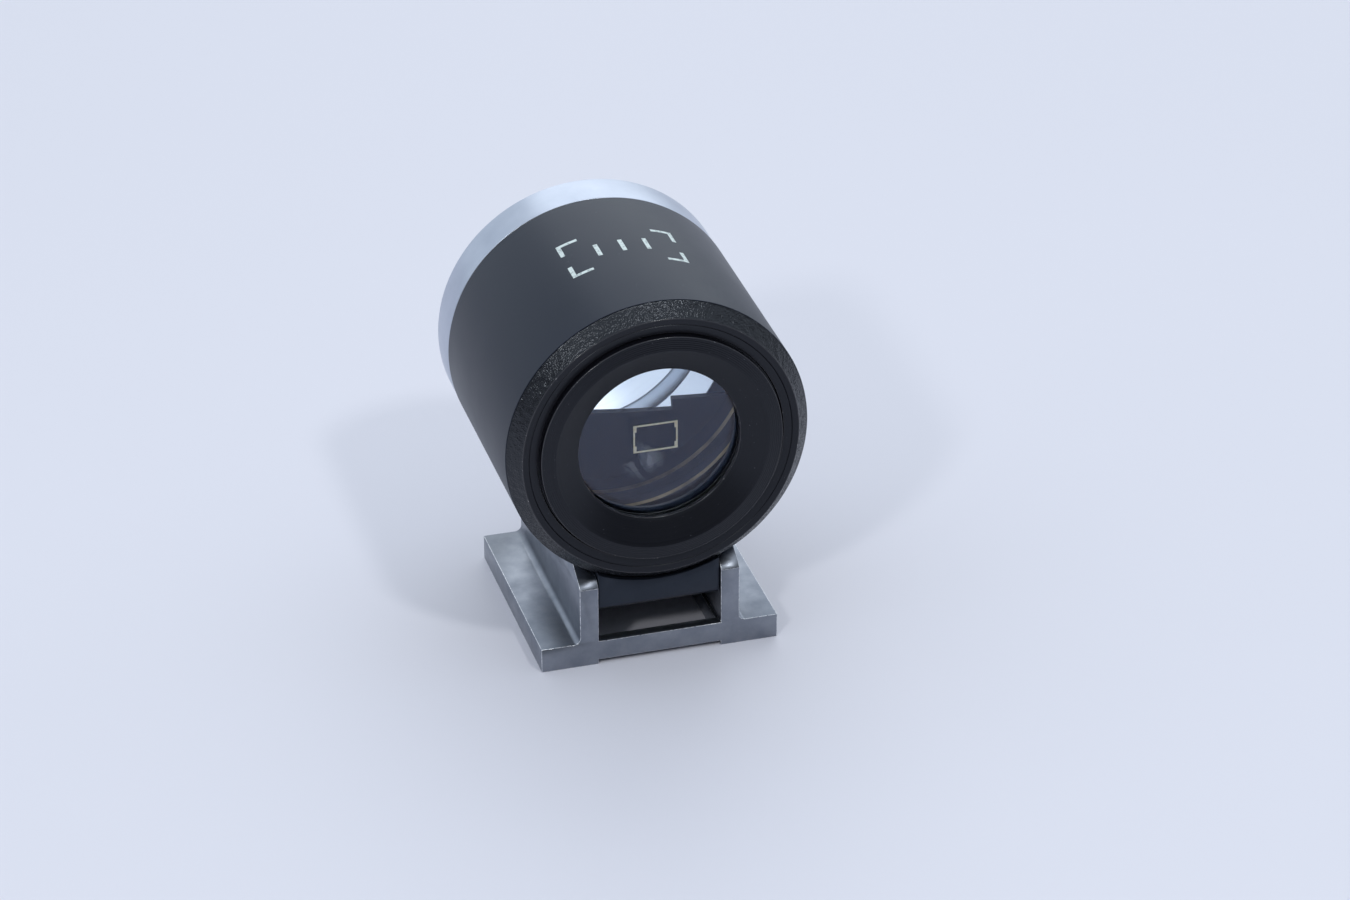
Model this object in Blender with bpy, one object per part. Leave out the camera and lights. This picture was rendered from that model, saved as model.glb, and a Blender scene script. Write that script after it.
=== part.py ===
"""Accessory-shoe optical viewfinder with a tilting barrel.

The eyepiece faces -Y, the objective faces +Y, +Z is up. The origin is under the middle of the
barrel, on the plane that the shoe foot's flanges rest on. Every turned piece shares the optical
axis, which runs along Y. The barrel, its optics and the saddle under it tilt on the pivot pin.
"""
import math

import bmesh
import bpy
from mathutils import Vector

MM = 0.001

# Clearances
SEAM = 0.05 * MM            # between pieces that are screwed or pressed together
RUNNING = 0.05 * MM         # radial, between the pivot pin and the saddle
COATING_GAP = 0.03 * MM     # between the bright frame and its glass

# Barrel and optical axis
AXIS_HEIGHT = 18.36 * MM
BARREL_RADIUS = 11.66 * MM
BARREL_EDGE = 0.15 * MM
BARREL_BORE = 10.60 * MM
BARREL_REAR = -9.83 * MM
BARREL_FRONT = 7.75 * MM
SPIGOT_RADIUS = BARREL_BORE - SEAM

# Eyepiece end
CHAMFER_TOP_RADIUS = 10.65 * MM
EYEPIECE_FACE = -11.01 * MM
EYEPIECE_BORE = 9.46 * MM
EYEPIECE_BORE_FACE = -10.86 * MM
EYEPIECE_SPIGOT_END = -7.40 * MM
EYE_RING_RADIUS = EYEPIECE_BORE - SEAM
EYE_RING_NECK = 9.30 * MM
EYE_RING_SHOULDER = -10.70 * MM
EYE_RING_EDGE = -11.27 * MM
EYE_RING_FACE = -11.41 * MM
EYE_RING_END = -7.50 * MM
DISH_RADIUS = 8.24 * MM
EYE_APERTURE = 6.24 * MM
DISH_FLOOR = -10.39 * MM
LENS_SEAT = -10.10 * MM
EYE_CELL_BORE = 7.25 * MM

# Eye optics
EYE_GLASS_RADIUS = EYE_CELL_BORE - SEAM
EYE_LENS_CURVE = 90.0 * MM
EYE_LENS_RIM = -9.82 * MM
EYE_LENS_REAR = -9.20 * MM
LENS_SPACER_BORE = 6.45 * MM
RETICLE_NEAR = -8.88 * MM
RETICLE_FAR = -8.08 * MM
RETAINER_BORE = 6.30 * MM
FRAME_WIDTH = 3.40 * MM
FRAME_HEIGHT = 2.28 * MM
FRAME_LINE = 0.12 * MM
FRAME_THICKNESS = 0.06 * MM
CORNER_MARK = 0.42 * MM

# Inside of the barrel
BAFFLE_RADIUS = BARREL_BORE - 2 * SEAM
BAFFLE_BORE = 9.90 * MM
BAFFLE_RIDGE = 9.45 * MM
BAFFLE_REAR = -7.35 * MM
BAFFLE_FRONT = 4.50 * MM
BAFFLE_RIDGES = 4
BAFFLE_RIDGE_SHARE = 0.22    # of the pitch, from a ridge's crest to its foot
MASK_REAR = BAFFLE_FRONT + SEAM
MASK_THICKNESS = 0.30 * MM
MASK_WIDTH = 16.0 * MM
MASK_HEIGHT = 11.4 * MM
MASK_MIDDLE_WIDTH = 9.8 * MM
MASK_MIDDLE_HEIGHT = 12.5 * MM

# Objective end
FRONT_RING_RADIUS = 11.60 * MM
FRONT_RING_FACE = 11.41 * MM
FRONT_RING_EDGE = 0.25 * MM
FRONT_RING_BORE = 9.75 * MM
OBJECTIVE_SEAT = 7.05 * MM
OBJECTIVE_SEAT_BORE = 9.00 * MM
OBJECTIVE_RADIUS = FRONT_RING_BORE - SEAM
OBJECTIVE_CURVE = 70.0 * MM
OBJECTIVE_FRONT = 8.60 * MM
OBJECTIVE_RETAINER_BORE = 9.10 * MM
OBJECTIVE_RETAINER_THICKNESS = 0.90 * MM

# Shoe foot
FOOT_HALF_WIDTH = 9.30 * MM
FOOT_NEAR = -10.43 * MM
FOOT_FAR = 7.27 * MM
FLANGE_THICKNESS = 2.00 * MM
FOOT_RELIEF = 0.40 * MM
CHEEK_OUTER = 6.26 * MM
CHEEK_INNER = 4.82 * MM
CHEEK_FILLET = 0.50 * MM
CHEEK_EDGE = 0.35 * MM
CHEEK_NEAR_TOP = 6.87 * MM
CHEEK_TOP = 7.90 * MM
CHEEK_SLOPE_LENGTH = 1.95 * MM
CHEEK_FAR_TOP = 6.70 * MM
CHEEK_BARREL_CLEARANCE = 0.40 * MM
NEAR_BAR_DEPTH = 0.90 * MM
WINDOW_HALF_WIDTH = 4.60 * MM
WINDOW_FAR = -0.90 * MM

# Pivot
PIVOT_Y = 4.60 * MM
PIVOT_Z = 5.00 * MM
PIN_RADIUS = 0.75 * MM
PIN_END_SETBACK = 0.02 * MM
PIN_CHAMFER = 0.15 * MM

# Saddle
SADDLE_HALF_WIDTH = 4.72 * MM
SADDLE_NEAR = -10.20 * MM
SADDLE_FAR = 6.60 * MM
SADDLE_UNDERSIDE = 4.50 * MM
SADDLE_BOSS_UNDERSIDE = 3.20 * MM
SADDLE_BOSS_START = 2.80 * MM
SADDLE_BOSS_RAMP = 0.80 * MM
SADDLE_EDGE = 0.35 * MM
SADDLE_SCREW_Y = {"saddle_screw_near": -8.60 * MM, "saddle_screw_far": -2.80 * MM}
SADDLE_SCREW_HEAD_RADIUS = 1.15 * MM
SADDLE_SCREW_HEAD_BOTTOM = 4.65 * MM
SADDLE_SCREW_HEAD_TOP = 5.35 * MM
SADDLE_SCREW_SHANK_RADIUS = 0.75 * MM
SADDLE_SCREW_TIP = 7.65 * MM
CONTACT_PAD_Y = -5.70 * MM
CONTACT_PAD_RADIUS = 1.10 * MM
CONTACT_PAD_BOTTOM = 4.30 * MM
CONTACT_PAD_TOP = 5.10 * MM
CONTACT_PAD_CHAMFER = 0.28 * MM
STOP_SCREW_Y = 0.30 * MM
STOP_SCREW_RADIUS = 0.90 * MM
STOP_SCREW_TIP_RADIUS = 0.50 * MM
STOP_SCREW_TOP = 5.90 * MM

# Leaf spring and its screws
SPRING_NEAR = 1.40 * MM
SPRING_BEND = 3.30 * MM
SPRING_FAR = 6.30 * MM
SPRING_RISE = 0.62 * MM
SPRING_THICKNESS = 0.22 * MM
SPRING_HALF_WIDTH = 3.70 * MM
SPRING_TONGUE_TAPER = 0.55
SPRING_SCREW_X = {"spring_screw_left": -2.60 * MM, "spring_screw_right": 2.60 * MM}
SPRING_SCREW_Y = 2.35 * MM
SPRING_SCREW_HEAD_RADIUS = 0.85 * MM
SPRING_SCREW_HEAD_HEIGHT = 0.45 * MM
SPRING_SCREW_SHANK_RADIUS = 0.45 * MM

# Facets
TURNED_SIDES = 72
SMALL_SIDES = 24
CURVE_STEPS = 6
SMOOTH_ANGLE = math.radians(32)
SAME_POINT = 1e-7           # points nearer than this are joined
CUT_MARGIN = 1.0 * MM       # how far a cutter reaches past the piece

OPTICAL_AXIS = Vector((0.0, 0.0, AXIS_HEIGHT))
PIVOT = Vector((0.0, PIVOT_Y, PIVOT_Z))

COLOURS = {
    "black_enamel": ((0.020, 0.021, 0.026), 0.38, 0.0),
    "black_anodised": ((0.022, 0.022, 0.027), 0.42, 0.3),
    "matte_black": ((0.010, 0.010, 0.011), 0.80, 0.0),
    "satin_silver": ((0.72, 0.74, 0.78), 0.30, 1.0),
    "steel": ((0.60, 0.61, 0.63), 0.28, 1.0),
    "spring_bronze": ((0.66, 0.48, 0.25), 0.30, 1.0),
    "frame_gold": ((0.86, 0.80, 0.60), 0.35, 0.6),
    "glass": ((0.90, 0.94, 0.96), 0.02, 0.0),
}


def clear_scene():
    for obj in list(bpy.data.objects):
        bpy.data.objects.remove(obj, do_unlink=True)


def make_materials():
    materials = {}
    for name, (colour, roughness, metallic) in COLOURS.items():
        made = bpy.data.materials.new(name)
        made.use_nodes = True
        shader = made.node_tree.nodes["Principled BSDF"]
        shader.inputs["Base Color"].default_value = (*colour, 1.0)
        shader.inputs["Roughness"].default_value = roughness
        shader.inputs["Metallic"].default_value = metallic
        if name == "glass":
            shader.inputs["Transmission Weight"].default_value = 1.0
            shader.inputs["IOR"].default_value = 1.52
        materials[name] = made
    return materials


def add_object(name, mesh_data, place, parent=None, material=None):
    """Put a bmesh into the scene; place is the object's origin in the part's frame."""
    bmesh.ops.recalc_face_normals(mesh_data, faces=mesh_data.faces)
    mesh = bpy.data.meshes.new(name)
    mesh_data.to_mesh(mesh)
    mesh_data.free()
    mesh.shade_smooth()
    mesh.set_sharp_from_angle(angle=SMOOTH_ANGLE)
    obj = bpy.data.objects.new(name, mesh)
    bpy.context.scene.collection.objects.link(obj)
    obj.location = place
    if parent:
        obj.parent = parent
        obj.location = place - parent.location
    if material:
        mesh.materials.append(material)
    return obj


def spun_mesh(outline, axis, sides):
    """Turn a closed outline of (radius, distance along the axis) points."""
    mesh_data = bmesh.new()
    across = Vector((1, 0, 0)) if abs(axis.x) < 0.5 else Vector((0, 0, 1))
    verts = [mesh_data.verts.new(across * radius + axis * along) for radius, along in outline]
    edges = [mesh_data.edges.new((a, b)) for a, b in zip(verts, verts[1:] + verts[:1])]
    bmesh.ops.spin(mesh_data, geom=verts + edges, cent=(0, 0, 0), axis=axis,
                   angle=2 * math.pi, steps=sides, use_merge=True)
    bmesh.ops.remove_doubles(mesh_data, verts=mesh_data.verts, dist=SAME_POINT)
    loose = [edge for edge in mesh_data.edges if not edge.link_faces]
    bmesh.ops.delete(mesh_data, geom=loose, context="EDGES")
    return mesh_data


def turned(name, outline, material, parent):
    """A piece turned about the optical axis."""
    mesh_data = spun_mesh(outline, Vector((0, 1, 0)), TURNED_SIDES)
    return add_object(name, mesh_data, OPTICAL_AXIS, parent, material)


def ring(outer, inner, near, far):
    return [(outer, near), (outer, far), (inner, far), (inner, near)]


def lens_curve(radius, curve, rim, bulge):
    """Points of a spherical face from the axis to its rim; bulge is -1 or +1 along Y."""
    depth = curve - math.sqrt(curve ** 2 - radius ** 2)
    points = []
    for step in range(CURVE_STEPS + 1):
        r = radius * step / CURVE_STEPS
        sag = curve - math.sqrt(curve ** 2 - r ** 2)
        points.append((r, rim + bulge * (depth - sag)))
    return points


def extruded(outline, along, low, high):
    """Sweep a closed outline in a straight line. along is X for (y, z), Y for (x, z) points."""
    mesh_data = bmesh.new()
    if along == "X":
        verts = [mesh_data.verts.new((low, a, b)) for a, b in outline]
        sweep = Vector((high - low, 0, 0))
    else:
        verts = [mesh_data.verts.new((a, low, b)) for a, b in outline]
        sweep = Vector((0, high - low, 0))
    face = mesh_data.faces.new(verts)
    grown = bmesh.ops.extrude_face_region(mesh_data, geom=[face], use_keep_orig=True)
    moved = [item for item in grown["geom"] if isinstance(item, bmesh.types.BMVert)]
    bmesh.ops.translate(mesh_data, verts=moved, vec=sweep)
    return mesh_data


def cut(target, name, mesh_data, place, parent=None):
    """Remove a hidden cutter's shape from the target."""
    cutter = add_object(name, mesh_data, place, parent)
    cutter.hide_render = True
    cutter.display_type = "WIRE"
    modifier = target.modifiers.new(name, "BOOLEAN")
    modifier.operation = "DIFFERENCE"
    modifier.solver = "EXACT"
    modifier.object = cutter


def drill(target, name, radius, start, direction, length, parent=None, sides=SMALL_SIDES):
    """Cut a straight round hole."""
    outline = [(0, 0), (radius, 0), (radius, length), (0, length)]
    cut(target, name, spun_mesh(outline, direction, sides), start, parent)


def screw(name, head_radius, head_low, head_high, shank_radius, tip, place, material, parent=None):
    """A cheese-head screw on a vertical axis, turned in one outline from its tip to its head."""
    step = head_high if tip > head_high else head_low
    cap = head_low if tip > head_high else head_high
    outline = [(0, tip), (shank_radius, tip), (shank_radius, step),
               (head_radius, step), (head_radius, cap), (0, cap)]
    mesh_data = spun_mesh(outline, Vector((0, 0, 1)), SMALL_SIDES)
    return add_object(name, mesh_data, place, parent, material)


# Fixed body: foot, pin and leaf spring

def foot_section():
    """Cross-section of the foot with its flanges, filleted cheeks and relieved underside."""
    half = [(CHEEK_INNER, FOOT_RELIEF), (CHEEK_INNER, 0), (FOOT_HALF_WIDTH, 0),
            (FOOT_HALF_WIDTH, FLANGE_THICKNESS)]
    centre_x = CHEEK_OUTER + CHEEK_FILLET
    centre_z = FLANGE_THICKNESS + CHEEK_FILLET
    for step in range(CURVE_STEPS + 1):
        angle = 0.5 * math.pi * step / CURVE_STEPS
        half.append((centre_x - CHEEK_FILLET * math.sin(angle),
                     centre_z - CHEEK_FILLET * math.cos(angle)))
    half += [(CHEEK_OUTER, CHEEK_TOP), (CHEEK_INNER, CHEEK_TOP), (CHEEK_INNER, FLANGE_THICKNESS)]
    return half + [(-x, z) for x, z in reversed(half)]


def make_foot(materials):
    foot = add_object("foot", extruded(foot_section(), "Y", FOOT_NEAR, FOOT_FAR), Vector(),
                      None, materials["satin_silver"])
    above = CHEEK_TOP + CUT_MARGIN
    beyond = CUT_MARGIN
    slope_end = FOOT_NEAR + CHEEK_SLOPE_LENGTH
    slope = (CHEEK_TOP - CHEEK_NEAR_TOP) / CHEEK_SLOPE_LENGTH
    near_slope = [(FOOT_NEAR - beyond, CHEEK_NEAR_TOP - CHEEK_EDGE - beyond),
                  (FOOT_NEAR + CHEEK_EDGE, CHEEK_NEAR_TOP + CHEEK_EDGE * slope),
                  (slope_end + beyond, CHEEK_TOP + beyond * slope),
                  (slope_end + beyond, above), (FOOT_NEAR - beyond, above)]
    far_drop = CHEEK_TOP - CHEEK_FAR_TOP
    far_slope = [(FOOT_FAR - far_drop - beyond, CHEEK_TOP + beyond),
                 (FOOT_FAR + beyond, CHEEK_FAR_TOP - beyond), (FOOT_FAR + beyond, above + beyond)]
    wide = CHEEK_OUTER + beyond
    cut(foot, "cheek_near_cutter", extruded(near_slope, "X", -wide, wide), Vector())
    cut(foot, "cheek_far_cutter", extruded(far_slope, "X", -wide, wide), Vector())
    clear_radius = BARREL_RADIUS + CHEEK_BARREL_CLEARANCE
    clear_outline = [(0, FOOT_NEAR - beyond), (clear_radius, FOOT_NEAR - beyond),
                     (clear_radius, FOOT_FAR + beyond), (0, FOOT_FAR + beyond)]
    cut(foot, "barrel_clearance_cutter",
        spun_mesh(clear_outline, Vector((0, 1, 0)), TURNED_SIDES), OPTICAL_AXIS)
    window = [(-WINDOW_HALF_WIDTH, -beyond), (WINDOW_HALF_WIDTH, -beyond),
              (WINDOW_HALF_WIDTH, FLANGE_THICKNESS + beyond),
              (-WINDOW_HALF_WIDTH, FLANGE_THICKNESS + beyond)]
    cut(foot, "window_cutter", extruded(window, "Y", FOOT_NEAR + NEAR_BAR_DEPTH, WINDOW_FAR),
        Vector())
    drill(foot, "foot_pin_cutter", PIN_RADIUS + RUNNING, Vector((-wide, PIVOT_Y, PIVOT_Z)),
          Vector((1, 0, 0)), 2 * wide)
    for name, x in SPRING_SCREW_X.items():
        drill(foot, name + "_foot_cutter", SPRING_SCREW_SHANK_RADIUS + SEAM,
              Vector((x, SPRING_SCREW_Y, -beyond)), Vector((0, 0, 1)), FLANGE_THICKNESS + 2 * beyond)
    return foot


def make_pivot_pin(materials):
    half = CHEEK_OUTER - PIN_END_SETBACK
    small = PIN_RADIUS - PIN_CHAMFER
    outline = [(0, -half), (small, -half), (PIN_RADIUS, -half + PIN_CHAMFER),
               (PIN_RADIUS, half - PIN_CHAMFER), (small, half), (0, half)]
    mesh_data = spun_mesh(outline, Vector((1, 0, 0)), SMALL_SIDES)
    add_object("pivot_pin", mesh_data, PIVOT, None, materials["steel"])


def make_return_spring(materials):
    """A thin leaf, flat where it is screwed down and bent up under the saddle's far end."""
    base = FLANGE_THICKNESS + SEAM
    bottom = [(SPRING_NEAR, base), (SPRING_BEND, base), (SPRING_FAR, base + SPRING_RISE)]
    top = [(y, z + SPRING_THICKNESS) for y, z in reversed(bottom)]
    mesh_data = extruded(bottom + top, "X", -SPRING_HALF_WIDTH, SPRING_HALF_WIDTH)
    for vert in mesh_data.verts:
        if vert.co.y > SPRING_BEND + SEAM:
            vert.co.x *= SPRING_TONGUE_TAPER
    spring = add_object("return_spring", mesh_data, Vector(), None, materials["spring_bronze"])
    head_low = base + SPRING_THICKNESS + SEAM
    for name, x in SPRING_SCREW_X.items():
        drill(spring, name + "_spring_cutter", SPRING_SCREW_SHANK_RADIUS + SEAM,
              Vector((x, SPRING_SCREW_Y, base - CUT_MARGIN)), Vector((0, 0, 1)), 2 * CUT_MARGIN)
        screw(name, SPRING_SCREW_HEAD_RADIUS, head_low, head_low + SPRING_SCREW_HEAD_HEIGHT,
              SPRING_SCREW_SHANK_RADIUS, FOOT_RELIEF + SEAM,
              Vector((x, SPRING_SCREW_Y, 0)), materials["steel"])


# Tilting body: saddle, barrel and optics

def make_saddle(materials, tilt_axis):
    edge = SADDLE_EDGE
    ramp_end = SADDLE_BOSS_START + SADDLE_BOSS_RAMP
    outline = [(SADDLE_NEAR, CHEEK_TOP), (SADDLE_NEAR, SADDLE_UNDERSIDE + edge),
               (SADDLE_NEAR + edge, SADDLE_UNDERSIDE), (SADDLE_BOSS_START, SADDLE_UNDERSIDE),
               (ramp_end, SADDLE_BOSS_UNDERSIDE), (SADDLE_FAR - edge, SADDLE_BOSS_UNDERSIDE),
               (SADDLE_FAR, SADDLE_BOSS_UNDERSIDE + edge), (SADDLE_FAR, CHEEK_TOP)]
    mesh_data = extruded(outline, "X", -SADDLE_HALF_WIDTH, SADDLE_HALF_WIDTH)
    bmesh.ops.translate(mesh_data, verts=mesh_data.verts, vec=-PIVOT)
    saddle = add_object("saddle", mesh_data, PIVOT, tilt_axis, materials["black_anodised"])
    seat_radius = BARREL_RADIUS + SEAM
    near = SADDLE_NEAR - CUT_MARGIN
    far = SADDLE_FAR + CUT_MARGIN
    seat_outline = [(0, near), (seat_radius, near), (seat_radius, far), (0, far)]
    cut(saddle, "barrel_seat_cutter", spun_mesh(seat_outline, Vector((0, 1, 0)), TURNED_SIDES),
        OPTICAL_AXIS, tilt_axis)
    wide = SADDLE_HALF_WIDTH + CUT_MARGIN
    drill(saddle, "saddle_pin_cutter", PIN_RADIUS + RUNNING, Vector((-wide, PIVOT_Y, PIVOT_Z)),
          Vector((1, 0, 0)), 2 * wide, tilt_axis)
    up = Vector((0, 0, 1))
    low = SADDLE_UNDERSIDE - CUT_MARGIN
    for name, y in SADDLE_SCREW_Y.items():
        drill(saddle, name + "_head_cutter", SADDLE_SCREW_HEAD_RADIUS + SEAM,
              Vector((0, y, low)), up, SADDLE_SCREW_HEAD_TOP + SEAM - low, tilt_axis)
        drill(saddle, name + "_shank_cutter", SADDLE_SCREW_SHANK_RADIUS + SEAM,
              Vector((0, y, low)), up, AXIS_HEIGHT - low, tilt_axis)
    drill(saddle, "contact_pad_cutter", CONTACT_PAD_RADIUS + SEAM,
          Vector((0, CONTACT_PAD_Y, low)), up, CONTACT_PAD_TOP + SEAM - low, tilt_axis)
    drill(saddle, "stop_screw_cutter", STOP_SCREW_RADIUS + SEAM,
          Vector((0, STOP_SCREW_Y, low)), up, STOP_SCREW_TOP + SEAM - low, tilt_axis)


def make_saddle_hardware(materials, tilt_axis):
    for name, y in SADDLE_SCREW_Y.items():
        screw(name, SADDLE_SCREW_HEAD_RADIUS, SADDLE_SCREW_HEAD_BOTTOM, SADDLE_SCREW_HEAD_TOP,
              SADDLE_SCREW_SHANK_RADIUS, SADDLE_SCREW_TIP, Vector((0, y, 0)),
              materials["steel"], tilt_axis)
    pad = [(0, CONTACT_PAD_BOTTOM), (CONTACT_PAD_RADIUS - CONTACT_PAD_CHAMFER, CONTACT_PAD_BOTTOM),
           (CONTACT_PAD_RADIUS, CONTACT_PAD_BOTTOM + CONTACT_PAD_CHAMFER),
           (CONTACT_PAD_RADIUS, CONTACT_PAD_TOP), (0, CONTACT_PAD_TOP)]
    add_object("contact_pad", spun_mesh(pad, Vector((0, 0, 1)), SMALL_SIDES),
               Vector((0, CONTACT_PAD_Y, 0)), tilt_axis, materials["steel"])
    tip = FLANGE_THICKNESS + SEAM
    cone = STOP_SCREW_RADIUS - STOP_SCREW_TIP_RADIUS
    stop = [(0, tip), (STOP_SCREW_TIP_RADIUS, tip), (STOP_SCREW_RADIUS, tip + cone),
            (STOP_SCREW_RADIUS, STOP_SCREW_TOP), (0, STOP_SCREW_TOP)]
    add_object("stop_screw", spun_mesh(stop, Vector((0, 0, 1)), SMALL_SIDES),
               Vector((0, STOP_SCREW_Y, 0)), tilt_axis, materials["steel"])


def make_barrel(materials, tilt_axis):
    outline = [(BARREL_RADIUS, BARREL_REAR), (BARREL_RADIUS, BARREL_FRONT - BARREL_EDGE),
               (BARREL_RADIUS - BARREL_EDGE, BARREL_FRONT), (BARREL_BORE, BARREL_FRONT),
               (BARREL_BORE, BARREL_REAR)]
    barrel = turned("barrel_tube", outline, materials["black_enamel"], tilt_axis)
    for name, y in SADDLE_SCREW_Y.items():
        drill(barrel, name + "_barrel_cutter", SADDLE_SCREW_SHANK_RADIUS + SEAM,
              Vector((0, y, SADDLE_UNDERSIDE)), Vector((0, 0, 1)),
              AXIS_HEIGHT - BARREL_BORE + CUT_MARGIN - SADDLE_UNDERSIDE, tilt_axis)


def make_eyepiece(materials, tilt_axis):
    shoulder = BARREL_REAR - SEAM
    turned("eyepiece_ring",
           [(BARREL_RADIUS, shoulder), (CHAMFER_TOP_RADIUS, EYEPIECE_FACE),
            (EYEPIECE_BORE, EYEPIECE_BORE_FACE), (EYEPIECE_BORE, EYEPIECE_SPIGOT_END),
            (SPIGOT_RADIUS, EYEPIECE_SPIGOT_END), (SPIGOT_RADIUS, shoulder)],
           materials["black_anodised"], tilt_axis)
    turned("eye_ring",
           [(EYE_RING_RADIUS, EYE_RING_END), (EYE_RING_RADIUS, EYE_RING_SHOULDER),
            (EYE_RING_NECK, EYE_RING_SHOULDER), (EYE_RING_NECK, EYE_RING_EDGE),
            (DISH_RADIUS, EYE_RING_FACE), (EYE_APERTURE, DISH_FLOOR), (EYE_APERTURE, LENS_SEAT),
            (EYE_CELL_BORE, LENS_SEAT), (EYE_CELL_BORE, EYE_RING_END)],
           materials["black_anodised"], tilt_axis)


def make_eye_optics(materials, tilt_axis):
    front = lens_curve(EYE_GLASS_RADIUS, EYE_LENS_CURVE, EYE_LENS_RIM, -1)
    turned("eye_lens", front + [(EYE_GLASS_RADIUS, EYE_LENS_REAR), (0, EYE_LENS_REAR)],
           materials["glass"], tilt_axis)
    turned("lens_spacer", ring(EYE_GLASS_RADIUS, LENS_SPACER_BORE, EYE_LENS_REAR + SEAM,
                               RETICLE_NEAR - SEAM), materials["matte_black"], tilt_axis)
    turned("reticle_glass", [(0, RETICLE_NEAR), (EYE_GLASS_RADIUS, RETICLE_NEAR),
                             (EYE_GLASS_RADIUS, RETICLE_FAR), (0, RETICLE_FAR)],
           materials["glass"], tilt_axis)
    turned("reticle_retainer", ring(EYE_GLASS_RADIUS, RETAINER_BORE, RETICLE_FAR + SEAM,
                                    EYE_RING_END - SEAM), materials["matte_black"], tilt_axis)


def make_bright_frame(materials, tilt_axis):
    """The bright rectangle: four lines with a short square tab inside each corner."""
    near = RETICLE_NEAR - COATING_GAP - FRAME_THICKNESS
    far = RETICLE_NEAR - COATING_GAP
    half_x = 0.5 * FRAME_WIDTH
    half_z = 0.5 * FRAME_HEIGHT
    outside = [(-half_x, -half_z), (half_x, -half_z), (half_x, half_z), (-half_x, half_z)]
    frame = add_object("bright_frame", extruded(outside, "Y", near, far), OPTICAL_AXIS,
                       tilt_axis, materials["frame_gold"])
    in_x = half_x - FRAME_LINE
    in_z = half_z - FRAME_LINE
    opening = []
    for side_x, side_z in ((-1, -1), (1, -1), (1, 1), (-1, 1)):
        on_side = (side_x * in_x, side_z * (in_z - CORNER_MARK))
        notch = (side_x * (in_x - FRAME_LINE), side_z * (in_z - CORNER_MARK))
        notch_end = (side_x * (in_x - FRAME_LINE), side_z * in_z)
        corner = [on_side, notch, notch_end]
        opening += corner if side_x * side_z > 0 else list(reversed(corner))
    cut(frame, "frame_opening_cutter",
        extruded(opening, "Y", near - CUT_MARGIN, far + CUT_MARGIN), OPTICAL_AXIS, tilt_axis)


def mask_opening():
    """The field mask's opening: a wide rectangle with a taller step in its middle."""
    half_x = 0.5 * MASK_WIDTH
    half_z = 0.5 * MASK_HEIGHT
    middle_x = 0.5 * MASK_MIDDLE_WIDTH
    middle_z = 0.5 * MASK_MIDDLE_HEIGHT
    upper = [(half_x, half_z), (middle_x, half_z), (middle_x, middle_z),
             (-middle_x, middle_z), (-middle_x, half_z), (-half_x, half_z)]
    return upper + [(-x, -z) for x, z in upper]


def make_barrel_inside(materials, tilt_axis):
    """Spacer tube whose bore carries sharp light-trap ridges."""
    outline = [(BAFFLE_RADIUS, BAFFLE_REAR), (BAFFLE_RADIUS, BAFFLE_FRONT),
               (BAFFLE_BORE, BAFFLE_FRONT)]
    pitch = (BAFFLE_FRONT - BAFFLE_REAR) / (BAFFLE_RIDGES + 1)
    ridge_half = BAFFLE_RIDGE_SHARE * pitch
    for number in range(BAFFLE_RIDGES):
        crest = BAFFLE_FRONT - pitch * (number + 1)
        outline += [(BAFFLE_BORE, crest + ridge_half), (BAFFLE_RIDGE, crest),
                    (BAFFLE_BORE, crest - ridge_half)]
    outline.append((BAFFLE_BORE, BAFFLE_REAR))
    turned("baffle_tube", outline, materials["matte_black"], tilt_axis)
    mask = turned("field_mask", [(0, MASK_REAR), (BAFFLE_RADIUS, MASK_REAR),
                                 (BAFFLE_RADIUS, MASK_REAR + MASK_THICKNESS),
                                 (0, MASK_REAR + MASK_THICKNESS)],
                  materials["matte_black"], tilt_axis)
    far = MASK_REAR + MASK_THICKNESS
    opening = mask_opening()
    cut(mask, "mask_opening_cutter",
        extruded(opening, "Y", MASK_REAR - CUT_MARGIN, far + CUT_MARGIN), OPTICAL_AXIS, tilt_axis)


def make_objective(materials, tilt_axis):
    shoulder = BARREL_FRONT + SEAM
    spigot_end = MASK_REAR + MASK_THICKNESS + SEAM
    edge = FRONT_RING_EDGE
    turned("front_ring",
           [(FRONT_RING_RADIUS, shoulder), (FRONT_RING_RADIUS, FRONT_RING_FACE - edge),
            (FRONT_RING_RADIUS - edge, FRONT_RING_FACE), (FRONT_RING_BORE + edge, FRONT_RING_FACE),
            (FRONT_RING_BORE, FRONT_RING_FACE - edge), (FRONT_RING_BORE, OBJECTIVE_SEAT),
            (OBJECTIVE_SEAT_BORE, OBJECTIVE_SEAT), (OBJECTIVE_SEAT_BORE, spigot_end),
            (SPIGOT_RADIUS, spigot_end), (SPIGOT_RADIUS, shoulder)],
           materials["satin_silver"], tilt_axis)
    rear_rim = OBJECTIVE_SEAT + SEAM
    rear = lens_curve(OBJECTIVE_SEAT_BORE, OBJECTIVE_CURVE, rear_rim, 1)
    turned("objective_lens", rear + [(OBJECTIVE_RADIUS, rear_rim),
                                     (OBJECTIVE_RADIUS, OBJECTIVE_FRONT), (0, OBJECTIVE_FRONT)],
           materials["glass"], tilt_axis)
    near = OBJECTIVE_FRONT + SEAM
    far = near + OBJECTIVE_RETAINER_THICKNESS
    slope = 0.5 * OBJECTIVE_RETAINER_THICKNESS
    turned("objective_retainer",
           [(OBJECTIVE_RADIUS, near), (OBJECTIVE_RADIUS, far),
            (OBJECTIVE_RETAINER_BORE + slope, far), (OBJECTIVE_RETAINER_BORE, far - slope),
            (OBJECTIVE_RETAINER_BORE, near)],
           materials["satin_silver"], tilt_axis)


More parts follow.
